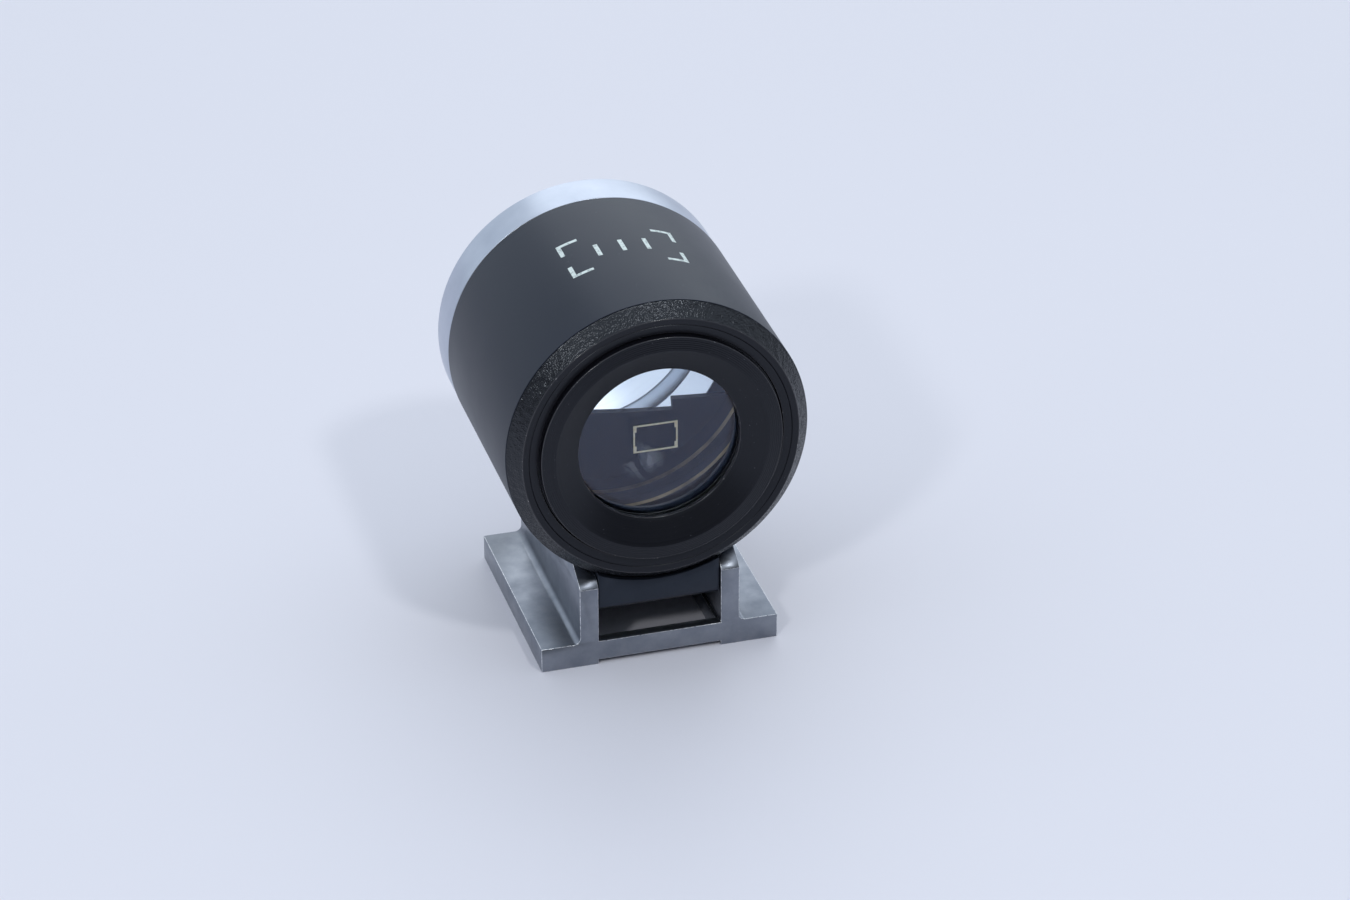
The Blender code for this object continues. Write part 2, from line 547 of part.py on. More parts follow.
def main():
    clear_scene()
    materials = make_materials()
    tilt_axis = bpy.data.objects.new("tilt_axis", None)
    bpy.context.scene.collection.objects.link(tilt_axis)
    tilt_axis.location = PIVOT
    make_foot(materials)
    make_pivot_pin(materials)
    make_return_spring(materials)
    make_saddle(materials, tilt_axis)
    make_saddle_hardware(materials, tilt_axis)
    make_barrel(materials, tilt_axis)
    make_eyepiece(materials, tilt_axis)
    make_eye_optics(materials, tilt_axis)
    make_bright_frame(materials, tilt_axis)
    make_barrel_inside(materials, tilt_axis)
    make_objective(materials, tilt_axis)


main()
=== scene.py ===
"""Looks of the accessory-shoe viewfinder: turned black barrel, silver front ring, dished eyepiece.

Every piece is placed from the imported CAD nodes. The optical axis runs along Y at the height of the
barrel's middle, and turned pieces have their origin on it, so a material can work out the radius.
"""
import math

import bmesh
import bpy
from mathutils import Matrix, Vector, noise


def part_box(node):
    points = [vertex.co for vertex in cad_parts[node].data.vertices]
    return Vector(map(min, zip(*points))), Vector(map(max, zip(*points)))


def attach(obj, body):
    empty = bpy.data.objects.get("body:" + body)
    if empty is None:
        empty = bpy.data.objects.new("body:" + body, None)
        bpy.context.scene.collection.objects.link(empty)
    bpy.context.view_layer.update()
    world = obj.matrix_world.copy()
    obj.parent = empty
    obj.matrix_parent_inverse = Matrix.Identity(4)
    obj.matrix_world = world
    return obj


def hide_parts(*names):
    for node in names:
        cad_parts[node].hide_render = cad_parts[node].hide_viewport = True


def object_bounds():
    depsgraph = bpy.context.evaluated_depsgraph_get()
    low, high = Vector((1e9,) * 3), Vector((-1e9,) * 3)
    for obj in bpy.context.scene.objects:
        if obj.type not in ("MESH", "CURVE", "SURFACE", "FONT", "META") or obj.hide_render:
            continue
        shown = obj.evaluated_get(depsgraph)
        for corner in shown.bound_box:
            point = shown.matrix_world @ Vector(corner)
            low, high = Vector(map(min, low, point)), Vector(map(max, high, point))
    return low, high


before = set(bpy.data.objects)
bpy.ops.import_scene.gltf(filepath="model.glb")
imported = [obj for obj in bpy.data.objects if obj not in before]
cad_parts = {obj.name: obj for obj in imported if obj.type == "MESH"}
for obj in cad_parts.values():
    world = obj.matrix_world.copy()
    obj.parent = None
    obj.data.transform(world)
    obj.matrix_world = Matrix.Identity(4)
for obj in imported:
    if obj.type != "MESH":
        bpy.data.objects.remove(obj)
cad_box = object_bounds()

MM = 0.001
FINDER = "finder"
FOOT = "shoe_foot"

# Camera, measured from the middle of the CAD box
CAMERA_AZIMUTH = math.radians(-16.37)
CAMERA_ELEVATION = math.radians(29.46)
CAMERA_DISTANCE = 337.4 * MM
CAMERA_AIM = Vector((2.33, -6.50, 0.34)) * MM
FOCAL_LENGTH = 119.6
SENSOR_WIDTH = 36.0

# Fineness of the turned pieces
ROUND_SIDES = 256
WRINKLE_SIDES = 1600
SMALL_SIDES = 48
CORNER_STEPS = 4
BEVEL_SEGMENTS = 3
SMOOTH_ANGLE = math.radians(34)


def node_box(name):
    low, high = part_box(name)
    return low, high


def node_radius(name):
    low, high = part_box(name)
    return 0.5 * (high.x - low.x)


AXIS_HEIGHT = 0.5 * (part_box("barrel_tube")[0].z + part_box("barrel_tube")[1].z)
OPTICAL_AXIS = Vector((0.0, 0.0, AXIS_HEIGHT))


# ---------------------------------------------------------------- shader helpers

class Shader:
    """A material's node tree with short ways to add and join nodes."""

    def __init__(self, name):
        self.material = bpy.data.materials.new(name)
        self.material.use_nodes = True
        self.tree = self.material.node_tree
        self.surface = self.tree.nodes["Principled BSDF"]

    def add(self, kind, **settings):
        node = self.tree.nodes.new(kind)
        for key, value in settings.items():
            setattr(node, key, value)
        return node

    def join(self, source, target):
        self.tree.links.new(source, target)

    def set(self, **values):
        for key, value in values.items():
            self.surface.inputs[key.replace("_", " ")].default_value = value

    def place(self):
        return self.add("ShaderNodeTexCoord").outputs["Object"]

    def math(self, operation, *values):
        node = self.add("ShaderNodeMath", operation=operation)
        for slot, value in enumerate(values):
            if isinstance(value, (int, float)):
                node.inputs[slot].default_value = value
            else:
                self.join(value, node.inputs[slot])
        return node.outputs[0]

    def noise(self, size, detail=4.0, roughness=0.55, vector=None):
        """Noise whose features are about size metres across."""
        node = self.add("ShaderNodeTexNoise")
        node.inputs["Scale"].default_value = 1.0 / size
        node.inputs["Detail"].default_value = detail
        node.inputs["Roughness"].default_value = roughness
        self.join(vector or self.place(), node.inputs["Vector"])
        return node.outputs["Fac"]

    def ramp(self, value, low, high, first=0.0, last=1.0):
        """Map value from low..high to first..last, held at the ends."""
        node = self.add("ShaderNodeMapRange", clamp=True)
        self.join(value, node.inputs["Value"])
        for name, number in (("From Min", low), ("From Max", high), ("To Min", first),
                             ("To Max", last)):
            node.inputs[name].default_value = number
        return node.outputs["Result"]

    def mix(self, factor, first, second):
        """Mix two colours, each a tuple or an output."""
        node = self.add("ShaderNodeMix", data_type="RGBA")
        self.join(factor, node.inputs[0])
        for slot, value in ((6, first), (7, second)):
            if isinstance(value, tuple):
                node.inputs[slot].default_value = (*value, 1.0)
            else:
                self.join(value, node.inputs[slot])
        return node.outputs[2]

    def radius_and_length(self):
        """The distance from the optical axis and the place along it, for a piece centred on it."""
        split = self.add("ShaderNodeSeparateXYZ")
        self.join(self.place(), split.inputs[0])
        across = self.math("POWER", split.outputs["X"], 2.0)
        height = self.math("POWER", split.outputs["Z"], 2.0)
        radius = self.math("SQRT", self.math("ADD", across, height))
        return radius, split.outputs["Y"]

    def turned_vector(self):
        """A vector that doesn't change around the axis, so that noise on it makes lathe marks."""
        radius, along = self.radius_and_length()
        joined = self.add("ShaderNodeCombineXYZ")
        self.join(radius, joined.inputs["X"])
        self.join(along, joined.inputs["Y"])
        return joined.outputs[0]

    def bump(self, height, depth, strength=1.0, under=None):
        node = self.add("ShaderNodeBump")
        node.inputs["Strength"].default_value = strength
        node.inputs["Distance"].default_value = depth
        self.join(height, node.inputs["Height"])
        if under is not None:
            self.join(under, node.inputs["Normal"])
        return node.outputs["Normal"]

    def colour(self, output):
        self.join(output, self.surface.inputs["Base Color"])

    def roughness(self, output):
        self.join(output, self.surface.inputs["Roughness"])

    def normal(self, output):
        self.join(output, self.surface.inputs["Normal"])


# ---------------------------------------------------------------- materials

def black_enamel():
    """Satin black enamel with a very fine grain and faint handling marks."""
    s = Shader("black_enamel")
    patches = s.noise(5.0 * MM, detail=5.0)
    dust = s.ramp(s.noise(0.13 * MM, detail=1.0), 0.80, 0.83)
    base = s.mix(s.ramp(patches, 0.35, 0.70), (0.008, 0.010, 0.017), (0.011, 0.013, 0.021))
    s.colour(s.mix(dust, base, (0.14, 0.15, 0.17)))
    s.set(Specular_IOR_Level=0.34, Specular_Tint=(0.66, 0.78, 1.0, 1.0))
    s.roughness(s.ramp(patches, 0.3, 0.7, 0.38, 0.42))
    grain = s.noise(0.10 * MM, detail=2.0)
    s.normal(s.bump(grain, 0.006 * MM, 0.45))
    return s.material


def worn_enamel():
    """Enamel on the barrel's front edge, rubbed down to brown brass in places."""
    s = Shader("worn_enamel")
    rubbed = s.ramp(s.noise(0.9 * MM, detail=8.0, roughness=0.7), 0.44, 0.54)
    s.colour(s.mix(rubbed, (0.016, 0.016, 0.020), (0.20, 0.135, 0.08)))
    s.join(s.math("MULTIPLY", rubbed, 0.8), s.surface.inputs["Metallic"])
    s.roughness(s.ramp(s.noise(0.5 * MM), 0.3, 0.7, 0.32, 0.48))
    return s.material


def black_anodised():
    """Turned black metal: fine rings round the axis and a few dust specks."""
    s = Shader("black_anodised")
    turned = s.noise(0.09 * MM, detail=4.0, vector=s.turned_vector())
    specks = s.ramp(s.noise(0.14 * MM, detail=2.0), 0.74, 0.77)
    base = s.mix(s.ramp(turned, 0.3, 0.7), (0.003, 0.003, 0.005), (0.006, 0.006, 0.009))
    s.colour(s.mix(specks, base, (0.12, 0.12, 0.14)))
    s.set(Specular_IOR_Level=0.34, Specular_Tint=(0.84, 0.90, 1.0, 1.0))
    s.roughness(s.ramp(turned, 0.3, 0.7, 0.30, 0.40))
    s.normal(s.bump(turned, 0.010 * MM, 0.6))
    return s.material


def wrinkle_black():
    """Crystalline black finish of the conical edge; its coarse grain is in the mesh."""
    s = Shader("wrinkle_black")
    cells = s.add("ShaderNodeTexVoronoi", feature="F1")
    cells.inputs["Scale"].default_value = 1.0 / (0.10 * MM)
    s.join(s.place(), cells.inputs["Vector"])
    fine = s.noise(0.05 * MM, detail=2.0)
    s.colour(s.mix(s.ramp(cells.outputs["Distance"], 0.1, 0.8), (0.003, 0.003, 0.004),
                   (0.006, 0.006, 0.008)))
    s.set(Specular_Tint=(0.84, 0.90, 1.0, 1.0))
    s.roughness(s.ramp(fine, 0.3, 0.7, 0.16, 0.26))
    coarse = s.bump(cells.outputs["Distance"], 0.02 * MM, 0.7)
    s.normal(s.bump(fine, 0.008 * MM, 0.5, coarse))
    return s.material


def edge_highlight_and_wear_black():
    """Black finish on a sharp edge, painted paler than the black beside it as a painted highlight
    line, with bright specks where it has rubbed off.
    """
    s = Shader("edge_highlight_and_wear_black")
    chips = s.ramp(s.noise(0.30 * MM, detail=8.0, roughness=0.75), 0.62, 0.66)
    # painted highlight: the edge base is several times paler than the black faces beside it; the
    # bright metallic specks are rubbed-off wear
    s.colour(s.mix(chips, (0.030, 0.030, 0.036), (0.60, 0.59, 0.58)))
    s.join(s.math("MULTIPLY", chips, 0.9), s.surface.inputs["Metallic"])
    s.roughness(s.ramp(s.noise(0.4 * MM), 0.3, 0.7, 0.14, 0.24))
    return s.material


def satin_silver():
    """Satin chrome plate of the front ring with lathe marks round the axis."""
    s = Shader("satin_silver")
    turned = s.noise(0.05 * MM, detail=5.0, vector=s.turned_vector())
    haze = s.noise(3.0 * MM, detail=5.0)
    s.colour(s.mix(s.ramp(haze, 0.3, 0.7), (0.44, 0.48, 0.56), (0.52, 0.56, 0.64)))
    s.set(Metallic=1.0)
    s.roughness(s.ramp(turned, 0.3, 0.7, 0.28, 0.40))
    s.normal(s.bump(turned, 0.004 * MM, 0.4))
    return s.material


def bright_bore():
    """Bright turned bore of the front ring and of its lens retainer."""
    s = Shader("bright_bore")
    turned = s.noise(0.06 * MM, detail=4.0, vector=s.turned_vector())
    s.colour(s.mix(s.ramp(turned, 0.3, 0.7), (0.92, 0.94, 0.96), (0.97, 0.98, 0.99)))
    s.set(Metallic=1.0)
    s.roughness(s.ramp(turned, 0.3, 0.7, 0.26, 0.36))
    return s.material


def foot_silver():
    """Satin plate of the foot, lightly clouded by handling, with fine rail scratches along Y."""
    s = Shader("foot_silver")
    stretch = s.add("ShaderNodeMapping")
    stretch.inputs["Scale"].default_value = (1.0, 0.05, 1.0)
    s.join(s.place(), stretch.inputs["Vector"])
    scratches = s.noise(0.10 * MM, detail=4.0, vector=stretch.outputs[0])
    haze = s.noise(2.2 * MM, detail=7.0, roughness=0.6)
    s.colour(s.mix(s.ramp(haze, 0.25, 0.75), (0.20, 0.22, 0.26), (0.32, 0.34, 0.38)))
    s.set(Metallic=1.0)
    s.roughness(s.ramp(haze, 0.3, 0.7, 0.42, 0.32))
    s.normal(s.bump(scratches, 0.005 * MM, 0.4))
    return s.material


def foot_edge_highlight_and_wear():
    """Edges of the foot, coloured far lighter than its faces: a painted highlight along every edge,
    mottled with rub marks from the shoe.
    """
    s = Shader("foot_edge_highlight_and_wear")
    marks = s.noise(0.28 * MM, detail=7.0)
    # painted highlight: the edge colours are far lighter than the foot's own faces; the noise only
    # mottles them like rub marks
    s.colour(s.mix(s.ramp(marks, 0.38, 0.62), (0.46, 0.48, 0.52), (0.95, 0.96, 0.97)))
    s.set(Metallic=1.0)
    s.roughness(s.ramp(marks, 0.3, 0.7, 0.24, 0.36))
    s.normal(s.bump(marks, 0.01 * MM, 0.4))
    return s.material


def saddle_black():
    """Satin black of the saddle block, a little rougher than the rings."""
    s = Shader("saddle_black")
    grain = s.noise(0.12 * MM, detail=4.0)
    s.colour(s.mix(s.ramp(s.noise(2.0 * MM), 0.3, 0.7), (0.009, 0.011, 0.018),
                   (0.013, 0.016, 0.024)))
    s.set(Specular_IOR_Level=0.45, Specular_Tint=(0.72, 0.83, 1.0, 1.0))
    s.roughness(s.ramp(grain, 0.3, 0.7, 0.36, 0.48))
    s.normal(s.bump(grain, 0.006 * MM, 0.4))
    return s.material


def matte_black():
    """Anti-reflection black inside the barrel."""
    s = Shader("matte_black")
    turned = s.noise(0.10 * MM, detail=3.0, vector=s.turned_vector())
    s.colour(s.mix(s.ramp(turned, 0.3, 0.7), (0.010, 0.011, 0.014), (0.020, 0.022, 0.027)))
    s.roughness(s.ramp(turned, 0.3, 0.7, 0.50, 0.70))
    s.normal(s.bump(turned, 0.01 * MM, 0.4))
    return s.material


def mask_black():
    """Flat black paint of the field mask, cloudy with age."""
    s = Shader("mask_black")
    cloud = s.noise(2.4 * MM, detail=5.0)
    s.colour(s.mix(s.ramp(cloud, 0.35, 0.65), (0.020, 0.024, 0.028), (0.032, 0.037, 0.042)))
    s.roughness(s.ramp(cloud, 0.3, 0.7, 0.55, 0.75))
    s.normal(s.bump(cloud, 0.01 * MM, 0.3))
    return s.material


def turned_steel():
    """Bright turned steel of pins and screws."""
    s = Shader("turned_steel")
    marks = s.noise(0.09 * MM, detail=6.0)
    s.colour(s.mix(s.ramp(marks, 0.3, 0.7), (0.40, 0.41, 0.43), (0.56, 0.57, 0.59)))
    s.set(Metallic=1.0)
    s.roughness(s.ramp(marks, 0.3, 0.7, 0.22, 0.36))
    s.normal(s.bump(marks, 0.006 * MM, 0.4))
    return s.material


def spring_bronze():
    """Rolled bronze of the leaf spring."""
    s = Shader("spring_bronze")
    rolled = s.noise(0.2 * MM, detail=6.0)
    s.colour(s.mix(s.ramp(rolled, 0.3, 0.7), (0.38, 0.24, 0.10), (0.56, 0.40, 0.19)))
    s.set(Metallic=1.0)
    s.roughness(s.ramp(rolled, 0.3, 0.7, 0.24, 0.40))
    return s.material


def brass_ridge():
    """Brass showing on the light-trap ridges, where the black has worn."""
    s = Shader("brass_ridge")
    wear = s.noise(1.2 * MM, detail=5.0)
    s.colour(s.mix(s.ramp(wear, 0.35, 0.65), (0.16, 0.12, 0.06), (0.40, 0.31, 0.16)))
    s.set(Metallic=0.7)
    s.roughness(s.ramp(wear, 0.3, 0.7, 0.40, 0.55))
    return s.material


def frame_gold():
    """Pale metal deposit of the bright frame, thin in places."""
    s = Shader("frame_gold")
    patches = s.noise(0.25 * MM, detail=5.0)
    s.colour(s.mix(s.ramp(patches, 0.35, 0.65), (0.86, 0.76, 0.50), (0.95, 0.91, 0.76)))
    s.set(Roughness=0.5)
    return s.material


def engraving_white():
    """White paint in the engraved mark, slightly worn."""
    s = Shader("engraving_white")
    wear = s.noise(0.30 * MM, detail=6.0)
    s.colour(s.mix(s.ramp(wear, 0.36, 0.50), (0.36, 0.42, 0.42), (0.66, 0.74, 0.72)))
    s.roughness(s.ramp(wear, 0.3, 0.7, 0.45, 0.65))
    s.normal(s.bump(wear, 0.008 * MM, 0.4))
    return s.material


def coated_glass(name, tint, film):
    """Coated optical glass; film is the coating's thickness in nanometres."""
    s = Shader(name)
    s.set(Transmission_Weight=1.0, IOR=1.52, Roughness=0.0, Thin_Film_Thickness=film,
          Thin_Film_IOR=1.38)
    clean = tuple(0.5 + 0.5 * part for part in tint)
    s.colour(s.mix(s.ramp(s.noise(3.0 * MM, detail=4.0), 0.3, 0.7), tint, clean))
    return s.material


STREAK_PLACE = (-0.9, -2.0)
STREAK_REACH = 1.7


def pale_patch_glass():
    """Reticle glass with a pale feathery patch below the frame, where the glass turns paler and
    partly opaque.
    """
    s = Shader("pale_patch_glass")
    s.set(IOR=1.52, Roughness=0.0, Thin_Film_Thickness=132.0, Thin_Film_IOR=1.38)
    split = s.add("ShaderNodeSeparateXYZ")
    s.join(s.place(), split.inputs[0])

    x = s.math("SUBTRACT", split.outputs["X"], STREAK_PLACE[0] * MM)
    z = s.math("SUBTRACT", split.outputs["Z"], STREAK_PLACE[1] * MM)
    away = s.math("SQRT", s.math("ADD", s.math("POWER", x, 2.0), s.math("POWER", z, 2.0)))
    feather = s.add("ShaderNodeTexWave", wave_type="BANDS", bands_direction="DIAGONAL")
    feather.inputs["Scale"].default_value = 0.32 / MM
    feather.inputs["Distortion"].default_value = 9.0
    feather.inputs["Detail"].default_value = 3.0
    s.join(s.place(), feather.inputs["Vector"])
    near = s.ramp(away, 0.3 * STREAK_REACH * MM, STREAK_REACH * MM, 1.0, 0.0)
    # pale feathery patch: the glass is mixed towards blue-white and gives up some transmission there
    pale_patch = s.math("MULTIPLY", s.ramp(feather.outputs["Fac"], 0.62, 0.90, 0.0, 0.30), near)
    s.colour(s.mix(pale_patch, (0.93, 0.95, 1.0), (0.82, 0.86, 0.99)))
    s.join(s.math("SUBTRACT", 1.0, pale_patch), s.surface.inputs["Transmission Weight"])
    return s.material


# ---------------------------------------------------------------- mesh helpers

def arc_corner(corner, before, after, reach):
    """Points that round one corner."""
    start = corner + (before - corner).normalized() * reach
    end = corner + (after - corner).normalized() * reach
    points = []
    for step in range(CORNER_STEPS + 1):
        t = step / CORNER_STEPS
        points.append(start * (1 - t) ** 2 + corner * 2 * t * (1 - t) + end * t ** 2)
    return points


def rounded(outline, radius):
    """Replace each corner of a closed outline, except on the axis, by a short curve."""
    points = [Vector(point) for point in outline]
    result = []
    for index, corner in enumerate(points):
        before = points[index - 1]
        after = points[(index + 1) % len(points)]
        if corner.x < radius:
            result.append(corner)
            continue
        reach = min(radius, 0.45 * (before - corner).length, 0.45 * (after - corner).length)
        result += arc_corner(corner, before, after, reach)
    return result


def lathe(name, outline, sides=ROUND_SIDES, zone=None):
    """Turn a closed outline of (radius, along) round the Y axis; zone gives a face's material."""
    points = [Vector(point) for point in outline]
    verts = []
    first = []
    for point in points:
        first.append(len(verts))
        count = 1 if point.x < 1e-7 else sides
        for side in range(count):
            angle = 2 * math.pi * side / sides
            verts.append((point.x * math.cos(angle), point.y, point.x * math.sin(angle)))
    faces = []
    zones = []
    for index, point in enumerate(points):
        following = (index + 1) % len(points)
        single_a = point.x < 1e-7
        single_b = points[following].x < 1e-7
        if single_a and single_b:
            continue
        middle = 0.5 * (point + points[following])
        for side in range(sides):
            turn = (side + 1) % sides
            a, b = first[index], first[following]
            if single_a:
                faces.append((a, b + turn, b + side))
            elif single_b:
                faces.append((a + side, a + turn, b))
            else:
                faces.append((a + side, a + turn, b + turn, b + side))
            zones.append(zone(middle) if zone else 0)
    mesh = bpy.data.meshes.new(name)
    mesh.from_pydata(verts, [], faces)
    mesh.update()
    outward = bmesh.new()
    outward.from_mesh(mesh)
    bmesh.ops.recalc_face_normals(outward, faces=outward.faces)
    outward.to_mesh(mesh)
    outward.free()
    mesh.polygons.foreach_set("material_index", zones)
    mesh.shade_smooth()
    mesh.set_sharp_from_angle(angle=SMOOTH_ANGLE)
    return mesh


def put(name, mesh, place, body, materials, nodes):
    """Make the piece an object that rides on its body and stands for its CAD nodes."""
    piece = bpy.data.objects.new(name, mesh)
    bpy.context.scene.collection.objects.link(piece)
    piece.location = place
    for material in materials:
        mesh.materials.append(material)
    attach(piece, body)
    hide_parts(*nodes)
    return piece


def finished_mesh(piece):
    """Apply the piece's modifiers."""
    graph = bpy.context.evaluated_depsgraph_get()
    made = bpy.data.meshes.new_from_object(piece.evaluated_get(graph))
    piece.modifiers.clear()
    piece.data = made
    return piece


def refined_node(name, node, body, materials, edge):
    """A bevelled copy of a CAD node: its edges become real rounds in the second material."""
    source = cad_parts[node].data
    work = bmesh.new()
    work.from_mesh(source)
    bmesh.ops.remove_doubles(work, verts=work.verts, dist=1e-6)
    bmesh.ops.dissolve_limit(work, angle_limit=math.radians(1.0), verts=work.verts,
                             edges=work.edges)
    mesh = bpy.data.meshes.new(name)
    work.to_mesh(mesh)
    work.free()
    mesh.materials.clear()
    piece = put(name, mesh, Vector(), body, materials, [node])
    mesh.polygons.foreach_set("material_index", [0] * len(mesh.polygons))
    bevel = piece.modifiers.new("edges", "BEVEL")
    bevel.width = edge
    bevel.segments = BEVEL_SEGMENTS
    bevel.limit_method = "ANGLE"
    bevel.angle_limit = math.radians(35)
    bevel.material = 1 if len(materials) > 1 else 0
    bevel.harden_normals = True
    finished_mesh(piece)
    piece.data.shade_smooth()
    piece.data.set_sharp_from_angle(angle=SMOOTH_ANGLE)
    return piece


# ---------------------------------------------------------------- barrel and rings

SEAM = 0.05 * MM
BARREL_BORE = 10.60 * MM
BARREL_SPIGOT = BARREL_BORE - SEAM
FRONT_EDGE = 0.15 * MM
SMALL_ROUND = 0.05 * MM
PAINT_LIFT = 0.003 * MM
MARK_LINE = 0.34 * MM
MARK_HALF_WIDE = 4.6 * MM
MARK_HALF_LONG = 2.6 * MM
MARK_ARM = 1.7 * MM
MARK_FORWARD = 0.6 * MM
MARK_SPACING = 1.9 * MM
MARK_HALF_BAR = 0.9 * MM
MARK_STEP = 0.15 * MM


def mark_bars(low, high):
    """The generic mark as (x from, x to, y from, y to): framing corners round three lines."""
    middle = 0.5 * (low + high) + MARK_FORWARD
    bars = []
    for side in (-1, 1):
        for end in (-1, 1):
            x = side * MARK_HALF_WIDE
            y = middle + end * MARK_HALF_LONG
            bars.append((x, x - side * MARK_ARM, y, y - end * MARK_LINE))
            bars.append((x, x - side * MARK_LINE, y, y - end * MARK_ARM))
    for x in (-MARK_SPACING, 0.0, MARK_SPACING):
        bars.append((x - 0.5 * MARK_LINE, x + 0.5 * MARK_LINE,
                     middle - MARK_HALF_BAR, middle + MARK_HALF_BAR))
    return [(min(a, b), max(a, b), min(c, d), max(c, d)) for a, b, c, d in bars]


def add_mark(mesh, radius, low, high, material_index):
    """Lay the painted mark into the top of the barrel, bent to its round."""
    work = bmesh.new()
    work.from_mesh(mesh)
    for x0, x1, y0, y1 in mark_bars(low, high):
        steps = max(2, int((x1 - x0) / MARK_STEP))
        rows = []
        for step in range(steps + 1):
            angle = (x0 + (x1 - x0) * step / steps) / radius
            rows.append([work.verts.new((r * math.sin(angle), y, r * math.cos(angle)))
                         for r, y in ((radius - SMALL_ROUND, y0), (radius, y0),
                                      (radius, y1), (radius - SMALL_ROUND, y1))])
        made = [work.faces.new(rows[0]), work.faces.new(list(reversed(rows[-1])))]
        for left, right in zip(rows, rows[1:]):
            for corner in range(4):
                following = (corner + 1) % 4
                made.append(work.faces.new((left[following], left[corner], right[corner],
                                            right[following])))
        bmesh.ops.recalc_face_normals(work, faces=made)
        for face in made:
            face.material_index = material_index
    work.to_mesh(mesh)
    work.free()


def make_barrel(enamel, worn, paint):
    low, high = node_box("barrel_tube")
    radius = node_radius("barrel_tube")
    skin = radius - PAINT_LIFT
    outline = rounded([(skin, low.y), (skin, high.y - FRONT_EDGE),
                       (skin - FRONT_EDGE, high.y), (BARREL_BORE, high.y),
                       (BARREL_BORE, low.y)], SMALL_ROUND)

    def zone(point):
        return 1 if point.y > high.y - 0.8 * FRONT_EDGE and point.x > radius - FRONT_EDGE else 0

    mesh = lathe("barrel_shell", outline, zone=zone)
    add_mark(mesh, radius, low.y, high.y, 2)
    put("barrel_shell", mesh, OPTICAL_AXIS, FINDER, [enamel, worn, paint],
        ["barrel_tube"])


CHAMFER_TOP = 10.65 * MM
EYEPIECE_BORE = 9.46 * MM
EYEPIECE_BORE_SETBACK = 0.15 * MM
CHAMFER_STEPS = 28
WRINKLE_SIZE = 0.15 * MM
WRINKLE_HEIGHT = 0.040 * MM
LINE_RADIUS = 10.12 * MM
LINE_DEPTH = 0.04 * MM


def wrinkle_height(point):
    """Height of the crystalline grain at a point, as cells with sunken joints."""
    near, _ = noise.voronoi(point / WRINKLE_SIZE)
    cells = min(1.0, 1.6 * (near[1] - near[0]))
    swell = noise.noise(point / (3.0 * WRINKLE_SIZE))
    return (cells + 0.6 * swell - 0.6) * WRINKLE_HEIGHT


def make_eyepiece_ring(wrinkle, anodised, worn):
    low, high = node_box("eyepiece_ring")
    radius = node_radius("eyepiece_ring")
    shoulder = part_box("barrel_tube")[0].y - SEAM
    foot = Vector((radius, shoulder))
    top = Vector((CHAMFER_TOP, low.y))
    lip = Vector((EYEPIECE_BORE, low.y + EYEPIECE_BORE_SETBACK))
    inner = Vector((EYEPIECE_BORE, high.y))
    face = (lip - top).normalized()
    line = top + face * (CHAMFER_TOP - LINE_RADIUS)
    into = Vector((0, LINE_DEPTH))
    outline = [foot + Vector((-3 * SMALL_ROUND, 0))]
    outline += [foot.lerp(top, 0.03 + 0.94 * step / CHAMFER_STEPS)
                for step in range(CHAMFER_STEPS + 1)]
    outline += arc_corner(top, foot, lip, 0.8 * SMALL_ROUND)
    outline += [line - face * LINE_DEPTH, line + into, line + face * LINE_DEPTH]
    outline += arc_corner(lip, top, inner, 1.2 * SMALL_ROUND)
    outline += [inner, Vector((BARREL_SPIGOT, high.y)), Vector((BARREL_SPIGOT, shoulder))]
    along = (top - foot).normalized()
    outward = Vector((along.y, -along.x))
    if outward.x < 0:
        outward = -outward

    def on_cone(point):
        share = (point - foot).dot(along) / (top - foot).length
        return abs((point - foot).dot(outward)) < 1e-6 and 0.02 < share < 0.98, share

    # zone 2, the rounded top and lip, takes the edge material: a painted highlight line with
    # rubbed-off specks
    def zone(point):
        if on_cone(point)[0]:
            return 0
        near_top = (point - top).length < SMALL_ROUND
        near_lip = (point - lip).length < SMALL_ROUND
        return 2 if near_top or near_lip else 1

    mesh = lathe("eyepiece_bezel", outline, sides=WRINKLE_SIDES, zone=zone)
    for vert in mesh.vertices:
        flat = Vector((math.hypot(vert.co.x, vert.co.z), vert.co.y))
        touched, share = on_cone(flat)
        if not touched:
            continue
        fade = min(1.0, 12 * (share - 0.02), 12 * (0.98 - share))
        lift = wrinkle_height(vert.co) * fade
        spoke = Vector((vert.co.x, 0, vert.co.z)).normalized()
        vert.co += (spoke * outward.x + Vector((0, outward.y, 0))) * lift
    put("eyepiece_bezel", mesh, OPTICAL_AXIS, FINDER, [wrinkle, anodised, worn],
        ["eyepiece_ring"])


EYE_NECK = 9.30 * MM
EYE_EDGE_SETBACK = 0.14 * MM
EYE_SHOULDER_SETBACK = 0.71 * MM
DISH_RADIUS = 8.24 * MM
DISH_DEPTH = 1.02 * MM
EYE_APERTURE = 6.24 * MM
LENS_SEAT_SETBACK = 1.31 * MM
EYE_CELL_BORE = 7.25 * MM
TOOL_MARKS = 7
TOOL_MARK_DEPTH = 0.016 * MM


